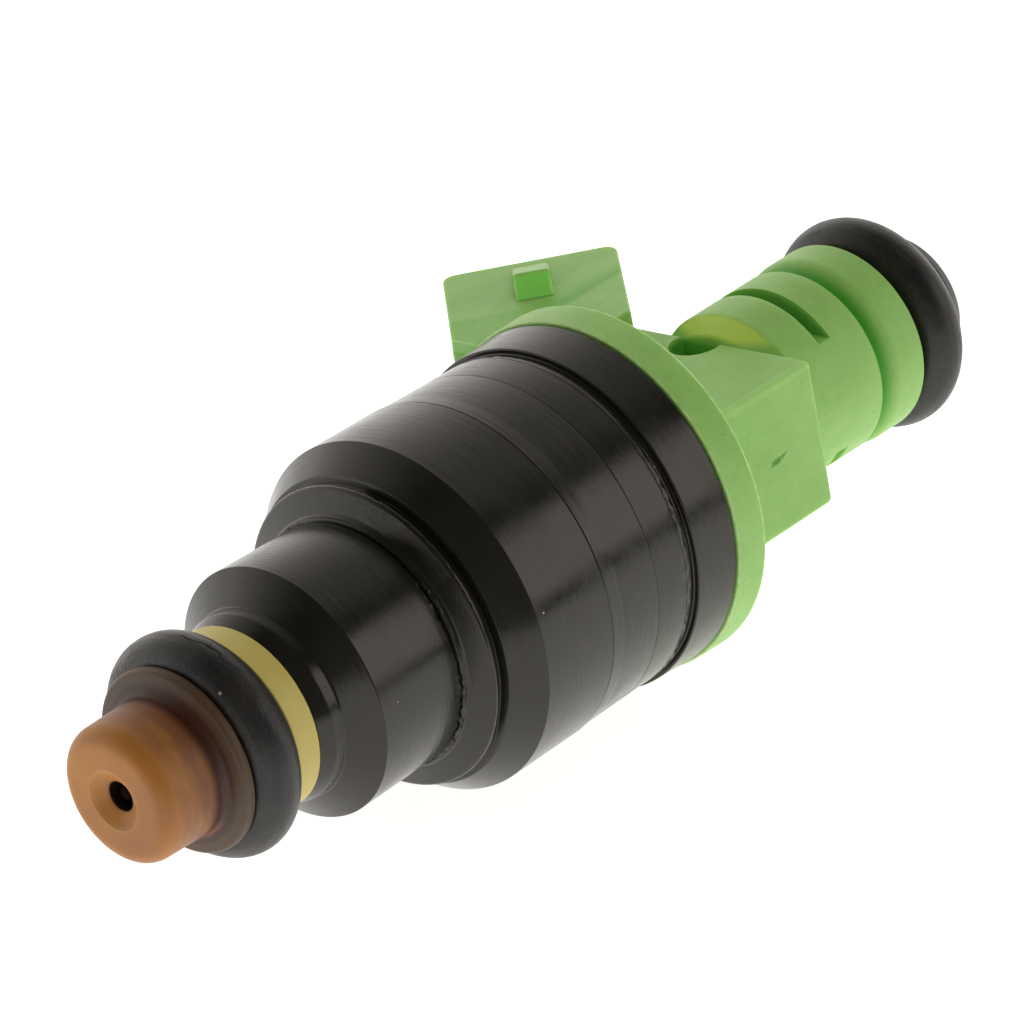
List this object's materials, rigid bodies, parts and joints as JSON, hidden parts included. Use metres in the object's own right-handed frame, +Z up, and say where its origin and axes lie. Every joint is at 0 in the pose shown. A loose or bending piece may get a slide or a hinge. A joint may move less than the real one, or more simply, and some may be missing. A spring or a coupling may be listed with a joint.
{
  "type": "fuel injector",
  "caption": "Top-feed port fuel injector with a stepped black housing, moulded connector body, leaning electrical socket, O-ring seals and a sprung needle inside.",
  "frame": {"origin": "centre of the bounding box's base, on the level surface that the injector lies on", "axes": "+X runs along the injector's axis from the spray tip to the fuel inlet. +Z is up. The connector points toward +Y and leans toward +X, and it is rolled 12.5 degrees below level, as the injector comes to rest on its flange and connector."},
  "size_m": [0.0738, 0.033, 0.024],
  "materials": {
    "amber_plastic": "satin, slightly translucent brown plastic",
    "seal_rubber": "smooth black fluoroelastomer, lightly scuffed",
    "yellow_plastic": "satin moulded plastic",
    "valve_steel": "ground and polished",
    "magnet_steel": "turned",
    "spring_steel": "bright drawn wire",
    "bobbin_plastic": "glass-filled nylon",
    "copper_wire": "enamelled copper wire",
    "black_coating": "glossy black coating over turned steel, finely scratched",
    "green_plastic": "satin moulded nylon, slightly translucent",
    "tinned_brass": "tin-plated strip",
    "filter_plastic": "dark moulded nylon",
    "filter_gauze": "fine woven nylon gauze"
  },
  "bodies": {
    "injector_body": {"pintle_cap": "amber_plastic", "lower_o_ring": "seal_rubber", "spacer_washer": "yellow_plastic", "nozzle_body": "valve_steel", "nozzle_seal": "seal_rubber", "stop_plate": "valve_steel", "return_spring": "spring_steel", "adjusting_sleeve": "magnet_steel", "inlet_core": "magnet_steel", "coil_bobbin": "bobbin_plastic", "coil_winding": "copper_wire", "bobbin_seal_lower": "seal_rubber", "bobbin_seal_upper": "seal_rubber", "housing": "black_coating", "clamp_ring": "black_coating", "connector_body": "green_plastic", "terminal_upper": "tinned_brass", "terminal_lower": "tinned_brass", "filter_frame": "filter_plastic", "filter_gauze": "filter_gauze", "upper_o_ring": "seal_rubber"},
    "valve_needle": {"needle": "valve_steel", "armature": "magnet_steel"}
  },
  "joints": [
    {"name": "needle_lift", "type": "slide", "parent": "injector_body", "child": "valve_needle", "axis": [1, 0, 0], "range_m": [0, 0.0001], "stiffness_N_per_m": 1000, "springref_m": -0.002, "deforming": ["return_spring"]}
  ]
}
